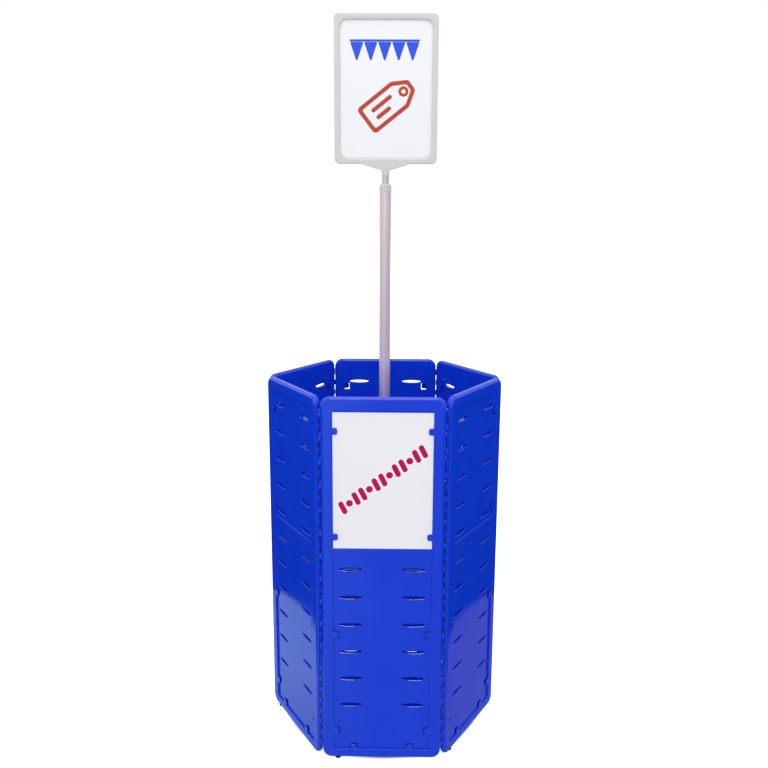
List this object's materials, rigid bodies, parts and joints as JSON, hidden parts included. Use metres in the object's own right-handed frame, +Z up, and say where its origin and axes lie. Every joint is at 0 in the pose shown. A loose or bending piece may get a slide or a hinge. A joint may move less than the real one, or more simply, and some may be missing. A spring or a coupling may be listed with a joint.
{
  "type": "promotional dump bin with sign pole",
  "caption": "Hexagonal blue plastic dump bin of hinged slotted panels, with a poster in the front panel and a card frame on a telescopic pole.",
  "frame": {"origin": "on the floor, on the axis of the pole at the middle of the hexagon", "axes": "+Z up along the pole; -Y out of the front, through the panel that carries the poster; X across the front"},
  "size_m": [0.5422, 0.4784, 1.617],
  "materials": {
    "bin_polypropylene": "glossy blow-moulded polypropylene, royal blue",
    "floor_polypropylene": "injection-moulded polypropylene, royal blue",
    "rod_nylon": "drawn blue nylon rod",
    "cap_polyethylene": "moulded polyethylene",
    "glide_polyethylene": "moulded polyethylene glide",
    "socket_nylon": "moulded black nylon",
    "fastener_steel": "zinc-plated steel",
    "tube_aluminium": "satin anodised aluminium",
    "collar_abs": "moulded grey ABS",
    "ring_rubber": "nitrile rubber",
    "sign_abs": "moulded light grey ABS",
    "pocket_film": "clear PVC film",
    "card_paper": "printed card"
  },
  "bodies": {
    "bin": {"panel_front": "bin_polypropylene", "panel_front_right": "bin_polypropylene", "panel_back_right": "bin_polypropylene", "panel_back": "bin_polypropylene", "panel_back_left": "bin_polypropylene", "panel_front_left": "bin_polypropylene", "hinge_rod_front_right": "rod_nylon", "hinge_rod_right": "rod_nylon", "hinge_rod_back_right": "rod_nylon", "hinge_rod_back_left": "rod_nylon", "hinge_rod_left": "rod_nylon", "hinge_rod_front_left": "rod_nylon", "hinge_rod_caps": "cap_polyethylene", "glide_feet": "glide_polyethylene", "floor_plate": "floor_polypropylene", "pole_socket": "socket_nylon", "socket_screws": "fastener_steel", "socket_nuts": "fastener_steel", "socket_grub_screw": "fastener_steel", "pole_outer_tube": "tube_aluminium", "pole_tube_plug": "socket_nylon", "pole_collar": "collar_abs", "pole_friction_ring": "ring_rubber", "front_poster": "card_paper"},
    "mast": {"pole_inner_tube": "tube_aluminium", "pole_inner_bush": "socket_nylon", "pole_head_plug": "socket_nylon"},
    "sign": {"sign_tee": "sign_abs", "sign_frame": "sign_abs"},
    "pocket": {"sign_pocket": "pocket_film", "sign_card": "card_paper"}
  },
  "joints": [
    {"name": "pole_slide", "type": "slide", "parent": "bin", "child": "mast", "axis": [0, 0, 1], "range_m": [-0.018, 0.45]},
    {"name": "sign_swivel", "type": "hinge", "parent": "mast", "child": "sign", "pos_m": [0, 0, 1.279], "axis": [0, 0, 1], "continuous": true},
    {"name": "pocket_slide", "type": "slide", "parent": "sign", "child": "pocket", "axis": [0, 0, 1], "range_m": [0, 0.3]}
  ]
}
